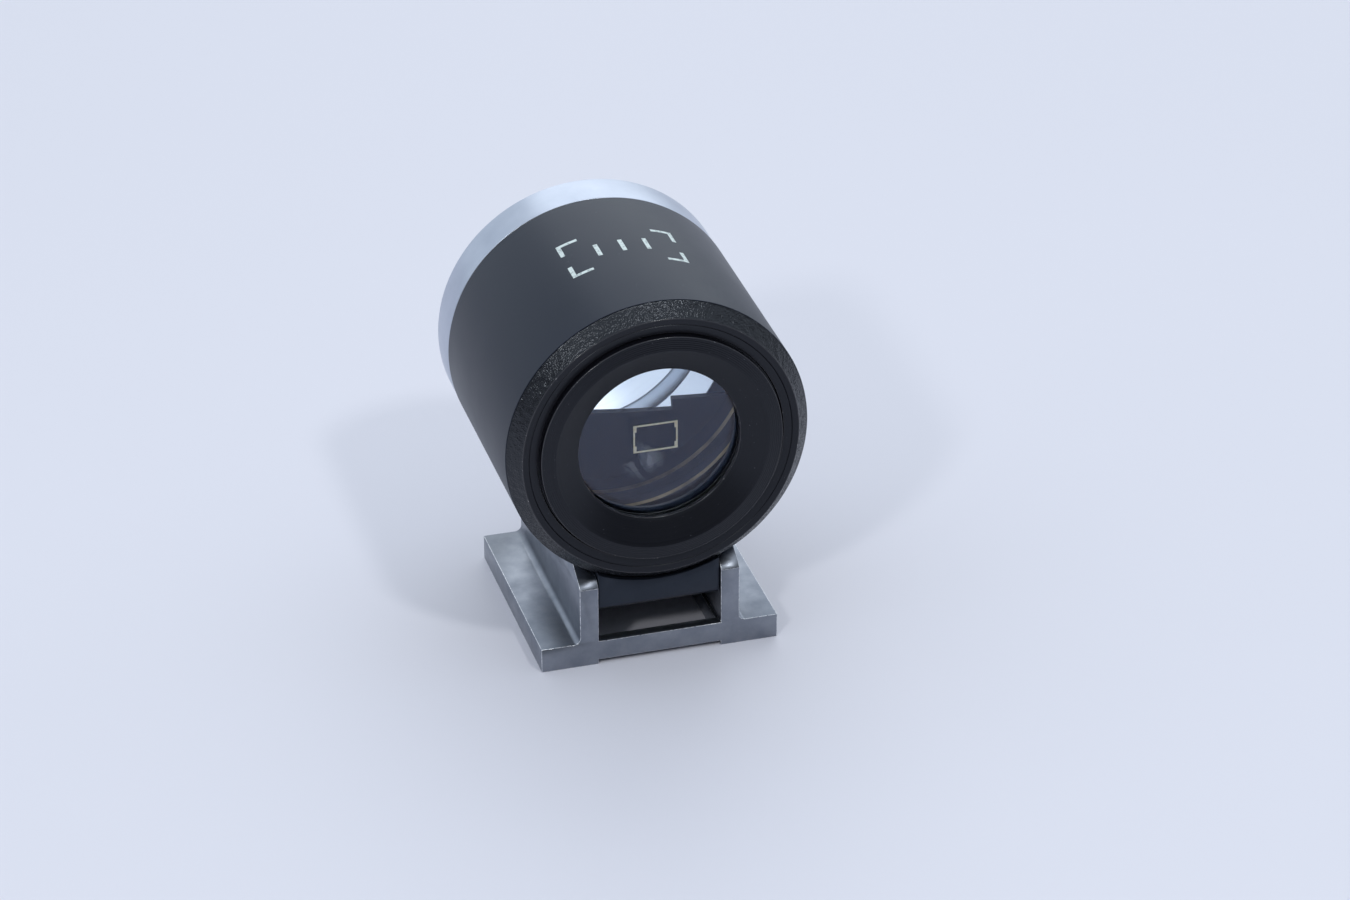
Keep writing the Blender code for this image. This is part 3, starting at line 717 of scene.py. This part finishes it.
def make_eye_ring(anodised, worn):
    low, high = node_box("eye_ring")
    radius = node_radius("eye_ring")
    shoulder = Vector((EYE_NECK, low.y + EYE_SHOULDER_SETBACK))
    outer = Vector((EYE_NECK, low.y + EYE_EDGE_SETBACK))
    rim = Vector((DISH_RADIUS, low.y))
    floor = Vector((EYE_APERTURE, low.y + DISH_DEPTH))
    seat = Vector((EYE_APERTURE, low.y + LENS_SEAT_SETBACK))
    outline = [Vector((radius, high.y)), Vector((radius, shoulder.y)), shoulder]
    outline += arc_corner(outer, shoulder, rim, 1.2 * SMALL_ROUND)
    steps = 6 * TOOL_MARKS
    for step in range(4, steps - 2):
        share = step / steps
        ripple = 0.5 * (1 - math.cos(2 * math.pi * TOOL_MARKS * share)) * TOOL_MARK_DEPTH
        outline.append(outer.lerp(rim, share) + Vector((0, ripple)))
    outline += arc_corner(rim, outer, floor, 0.8 * SMALL_ROUND)
    outline += [rim.lerp(floor, 0.25), rim.lerp(floor, 0.5), rim.lerp(floor, 0.75)]
    outline += arc_corner(floor, rim, seat, 1.2 * SMALL_ROUND)
    outline += [seat, Vector((EYE_CELL_BORE, seat.y)), Vector((EYE_CELL_BORE, high.y))]

    # zone 1, the lip and aperture edges, takes the edge material: a painted highlight line with
    # rubbed-off specks
    def zone(point):
        near_lip = (point - outer).length < SMALL_ROUND
        near_aperture = (point - floor).length < SMALL_ROUND
        return 1 if near_lip or near_aperture else 0

    put("eye_cell", lathe("eye_cell", outline, zone=zone), OPTICAL_AXIS, FINDER,
        [anodised, worn], ["eye_ring"])


FRONT_BORE = 9.75 * MM
OBJECTIVE_SEAT_BORE = 9.00 * MM
FRONT_RING_EDGE = 0.25 * MM


def make_front_ring(silver, bright):
    low, high = node_box("front_ring")
    radius = node_radius("front_ring")
    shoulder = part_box("barrel_tube")[1].y + SEAM
    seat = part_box("objective_lens")[0].y - SEAM
    edge = FRONT_RING_EDGE
    outline = rounded([(radius, shoulder), (radius, high.y - edge), (radius - edge, high.y),
                       (FRONT_BORE + edge, high.y), (FRONT_BORE, high.y - edge),
                       (FRONT_BORE, seat), (OBJECTIVE_SEAT_BORE, seat),
                       (OBJECTIVE_SEAT_BORE, low.y), (BARREL_SPIGOT, low.y),
                       (BARREL_SPIGOT, shoulder)], SMALL_ROUND)

    def zone(point):
        return 1 if point.x < FRONT_BORE + 0.01 * MM else 0

    put("front_bezel", lathe("front_bezel", outline, zone=zone), OPTICAL_AXIS, FINDER,
        [silver, bright], ["front_ring"])


# ---------------------------------------------------------------- optics

EYE_LENS_CURVE = 90.0 * MM
OBJECTIVE_CURVE = 70.0 * MM
LENS_STEPS = 24


def lens_face(radius, curve, rim, bulge):
    """Points of a spherical face from the axis to its rim."""
    depth = curve - math.sqrt(curve ** 2 - radius ** 2)
    points = []
    for step in range(LENS_STEPS + 1):
        r = radius * step / LENS_STEPS
        sag = curve - math.sqrt(curve ** 2 - r ** 2)
        points.append((r, rim + bulge * (depth - sag)))
    return points


def make_lenses(eye_glass, reticle_glass, objective_glass):
    low, high = node_box("eye_lens")
    radius = node_radius("eye_lens")
    rim = low.y + EYE_LENS_CURVE - math.sqrt(EYE_LENS_CURVE ** 2 - radius ** 2)
    outline = lens_face(radius, EYE_LENS_CURVE, rim, -1) + [(radius, high.y), (0, high.y)]
    put("eye_lens_glass", lathe("eye_lens_glass", outline), OPTICAL_AXIS, FINDER, [eye_glass],
        ["eye_lens"])
    low, high = node_box("reticle_glass")
    radius = node_radius("reticle_glass")
    outline = rounded([(0, low.y), (radius, low.y), (radius, high.y), (0, high.y)], SMALL_ROUND)
    put("reticle_disc", lathe("reticle_disc", outline), OPTICAL_AXIS, FINDER, [reticle_glass],
        ["reticle_glass"])
    low, high = node_box("objective_lens")
    radius = node_radius("objective_lens")
    rear = lens_face(OBJECTIVE_SEAT_BORE, OBJECTIVE_CURVE, low.y, 1)
    outline = rear + [(radius, low.y), (radius, high.y), (0, high.y)]
    put("objective_glass", lathe("objective_glass", outline), OPTICAL_AXIS, FINDER,
        [objective_glass], ["objective_lens"])


SPACER_BORE = 6.45 * MM
RETICLE_RETAINER_BORE = 6.30 * MM
OBJECTIVE_RETAINER_BORE = 9.10 * MM
OBJECTIVE_RETAINER_SLOPE = 0.45 * MM


def make_plain_ring(name, node, bore, front_slope, material):
    """A flat retaining ring or spacer with broken edges; front_slope opens its far side."""
    low, high = node_box(node)
    radius = node_radius(node)
    corners = [(radius, low.y), (radius, high.y), (bore + front_slope, high.y)]
    if front_slope:
        corners.append((bore, high.y - front_slope))
    corners.append((bore, low.y))
    put(name, lathe(name, rounded(corners, SMALL_ROUND)), OPTICAL_AXIS, FINDER, [material],
        [node])


BAFFLE_BORE = 9.90 * MM
RIDGE_RADIUS = 9.45 * MM
RIDGES = 4
RIDGE_CREST = 0.22 * MM
RIDGE_FOOT = 0.45 * MM


def make_baffle(matte, brass):
    """Spacer tube with light-trap ridges whose crests have worn to brass."""
    low, high = node_box("baffle_tube")
    radius = node_radius("baffle_tube")
    pitch = (high.y - low.y) / (RIDGES + 1)
    outline = [Vector((radius, low.y)), Vector((radius, high.y)), Vector((BAFFLE_BORE, high.y))]
    for number in range(RIDGES):
        crest = high.y - pitch * (number + 1)
        outline += [Vector((BAFFLE_BORE, crest + RIDGE_FOOT)),
                    Vector((RIDGE_RADIUS, crest + RIDGE_CREST)),
                    Vector((RIDGE_RADIUS, crest - RIDGE_CREST)),
                    Vector((BAFFLE_BORE, crest - RIDGE_FOOT))]
    outline.append(Vector((BAFFLE_BORE, low.y)))

    def zone(point):
        return 1 if point.x < RIDGE_RADIUS + 0.01 * MM else 0

    put("baffle_sleeve", lathe("baffle_sleeve", outline, zone=zone), OPTICAL_AXIS, FINDER,
        [matte, brass], ["baffle_tube"])


# ---------------------------------------------------------------- screws and pin

SLOT_WIDTH_SHARE = 0.28
SLOT_DEPTH_SHARE = 0.45


def make_screw(name, node, shank_radius, head_height, head_up, body, steel):
    """A cheese-head screw with a rounded head edge and a driver slot cut across it."""
    low, high = node_box(node)
    head_radius = node_radius(node)
    centre = 0.5 * (low + high)
    head_end, tip = (high.z, low.z) if head_up else (low.z, high.z)
    inward = -1 if head_up else 1
    step = head_end + inward * head_height
    outline = rounded([(0, tip), (shank_radius, tip), (shank_radius, step), (head_radius, step),
                       (head_radius, head_end), (0, head_end)], 0.10 * head_radius)
    mesh = lathe(name, outline, sides=SMALL_SIDES)
    mesh.transform(Matrix.Rotation(math.radians(90), 4, "X"))
    screw = put(name, mesh, Vector((centre.x, centre.y, 0.0)), body, [steel], [node])
    depth = SLOT_DEPTH_SHARE * head_height
    slot = bmesh.new()
    bmesh.ops.create_cube(slot, size=1.0)
    size = Vector((2.4 * head_radius, 2 * SLOT_WIDTH_SHARE * head_radius, 2 * depth))
    bmesh.ops.scale(slot, vec=size, verts=slot.verts)
    bmesh.ops.rotate(slot, verts=slot.verts, matrix=Matrix.Rotation(math.radians(35), 3, "Z"))
    bmesh.ops.translate(slot, verts=slot.verts, vec=(centre.x, centre.y, head_end))
    cutter_mesh = bpy.data.meshes.new(name + "_slot")
    slot.to_mesh(cutter_mesh)
    slot.free()
    cutter = bpy.data.objects.new(name + "_slot", cutter_mesh)
    bpy.context.scene.collection.objects.link(cutter)
    cut = screw.modifiers.new("slot", "BOOLEAN")
    cut.operation = "DIFFERENCE"
    cut.object = cutter
    finished_mesh(screw)
    bpy.data.objects.remove(cutter, do_unlink=True)
    screw.data.set_sharp_from_angle(angle=SMOOTH_ANGLE)


def make_pin(steel):
    """Hinge pin with chamfered ends and a turning centre in each."""
    low, high = node_box("pivot_pin")
    radius = 0.5 * (high.z - low.z)
    half = 0.5 * (high.x - low.x)
    chamfer = 0.15 * MM
    dimple = 0.12 * MM
    right = [(radius, half - chamfer), (radius - chamfer, half), (dimple, half),
             (0, half - dimple)]
    left = [(r, -along) for r, along in reversed(right)]
    mesh = lathe("hinge_pin", [Vector(point) for point in left + right], sides=SMALL_SIDES)
    mesh.transform(Matrix.Rotation(math.radians(90), 4, "Z"))
    put("hinge_pin", mesh, 0.5 * (low + high), FOOT, [steel], ["pivot_pin"])


# ---------------------------------------------------------------- stage

def make_floor():
    s = Shader("floor_paper")
    soft = s.noise(60 * MM, detail=3.0)
    s.colour(s.mix(s.ramp(soft, 0.3, 0.7), (0.735, 0.725, 0.785), (0.755, 0.745, 0.805)))
    s.roughness(s.ramp(soft, 0.3, 0.7, 0.55, 0.65))
    bpy.ops.mesh.primitive_grid_add(x_subdivisions=8, y_subdivisions=8, size=4.0)
    floor = bpy.context.object
    floor.name = "floor"
    floor.data.materials.append(s.material)


def make_world():
    """A pale studio: bright above and behind the object, dim on the camera's side."""
    world = bpy.data.worlds.new("studio")
    bpy.context.scene.world = world
    world.use_nodes = True
    tree = world.node_tree
    background = tree.nodes["Background"]
    place = tree.nodes.new("ShaderNodeTexCoord")
    lean = tree.nodes.new("ShaderNodeVectorMath")
    lean.operation = "DOT_PRODUCT"
    lean.inputs[1].default_value = (0.0, 0.72, 0.69)
    tree.links.new(place.outputs["Generated"], lean.inputs[0])
    fade = tree.nodes.new("ShaderNodeMapRange")
    tree.links.new(lean.outputs["Value"], fade.inputs["Value"])
    for name, number in (("From Min", -0.35), ("From Max", 0.45), ("To Min", 0.08),
                         ("To Max", 0.95)):
        fade.inputs[name].default_value = number
    background.inputs["Color"].default_value = (0.80, 0.89, 1.0, 1.0)
    tree.links.new(fade.outputs["Result"], background.inputs["Strength"])


def make_softbox(name, direction, distance, size, power):
    """A square lamp that faces the barrel from the given direction."""
    light = bpy.data.lights.new(name, "AREA")
    light.shape = "SQUARE"
    light.size = size
    light.energy = power
    light.color = (0.97, 0.99, 1.0)
    lamp = bpy.data.objects.new(name, light)
    bpy.context.scene.collection.objects.link(lamp)
    towards = Vector(direction).normalized()
    lamp.location = OPTICAL_AXIS + towards * distance
    lamp.rotation_euler = towards.to_track_quat("Z", "Y").to_euler()


def make_camera():
    data = bpy.data.cameras.new("camera")
    data.lens = FOCAL_LENGTH
    data.sensor_width = SENSOR_WIDTH
    data.clip_start = 0.01
    camera = bpy.data.objects.new("camera", data)
    bpy.context.scene.collection.objects.link(camera)
    low, high = cad_box
    aim = 0.5 * (Vector(low) + Vector(high)) + CAMERA_AIM
    back = Vector((math.sin(CAMERA_AZIMUTH) * math.cos(CAMERA_ELEVATION),
                   -math.cos(CAMERA_AZIMUTH) * math.cos(CAMERA_ELEVATION),
                   math.sin(CAMERA_ELEVATION)))
    camera.location = aim + back * CAMERA_DISTANCE
    camera.rotation_euler = back.to_track_quat("Z", "Y").to_euler()
    bpy.context.scene.camera = camera


def repaint(node, material):
    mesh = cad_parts[node].data
    mesh.materials.clear()
    mesh.materials.append(material)


def main():
    make_camera()
    make_world()
    make_softbox("key_right", (0.22, -0.57, 0.79), 0.6, 0.05, 0.6)
    make_softbox("key_left", (-0.53, -0.62, 0.58), 0.6, 0.05, 0.6)
    make_softbox("back_light", (0.25, 0.80, 0.55), 0.7, 0.60, 0.9)
    make_floor()
    anodised = black_anodised()
    edge_highlight_and_wear = edge_highlight_and_wear_black()
    silver = satin_silver()
    bore = bright_bore()
    matte = matte_black()
    steel = turned_steel()
    make_barrel(black_enamel(), worn_enamel(), engraving_white())
    make_eyepiece_ring(wrinkle_black(), anodised, edge_highlight_and_wear)
    make_eye_ring(anodised, edge_highlight_and_wear)
    make_front_ring(silver, bore)
    make_lenses(coated_glass("eye_glass", (0.96, 0.98, 1.0), 132.0), pale_patch_glass(),
                coated_glass("objective_coating", (0.90, 0.94, 1.0), 120.0))
    make_plain_ring("lens_spacer_ring", "lens_spacer", SPACER_BORE, 0.0, matte)
    make_plain_ring("reticle_lock_ring", "reticle_retainer", RETICLE_RETAINER_BORE, 0.0, matte)
    make_plain_ring("objective_lock_ring", "objective_retainer", OBJECTIVE_RETAINER_BORE,
                    OBJECTIVE_RETAINER_SLOPE, bore)
    make_baffle(matte, brass_ridge())
    # the foot's second material paints a highlight along every bevelled edge, with rub marks in it
    refined_node("foot_plated", "foot", FOOT, [foot_silver(), foot_edge_highlight_and_wear()],
                 0.13 * MM)
    saddle = saddle_black()
    refined_node("saddle_block", "saddle", FINDER, [saddle, saddle], 0.10 * MM)
    refined_node("leaf_spring", "return_spring", FOOT, [spring_bronze()],
                 0.03 * MM)
    refined_node("lift_pad", "contact_pad", FINDER, [steel], 0.08 * MM)
    refined_node("stop_stud", "stop_screw", FINDER, [steel], 0.06 * MM)
    make_pin(steel)
    for side in ("left", "right"):
        make_screw("spring_fixing_" + side, "spring_screw_" + side, 0.45 * MM, 0.45 * MM, True,
                   FOOT, steel)
    for end in ("near", "far"):
        make_screw("saddle_fixing_" + end, "saddle_screw_" + end, 0.75 * MM, 0.70 * MM, False,
                   FINDER, steel)
    repaint("bright_frame", frame_gold())
    repaint("field_mask", mask_black())
    bpy.context.scene.view_settings.view_transform = "Standard"


main()
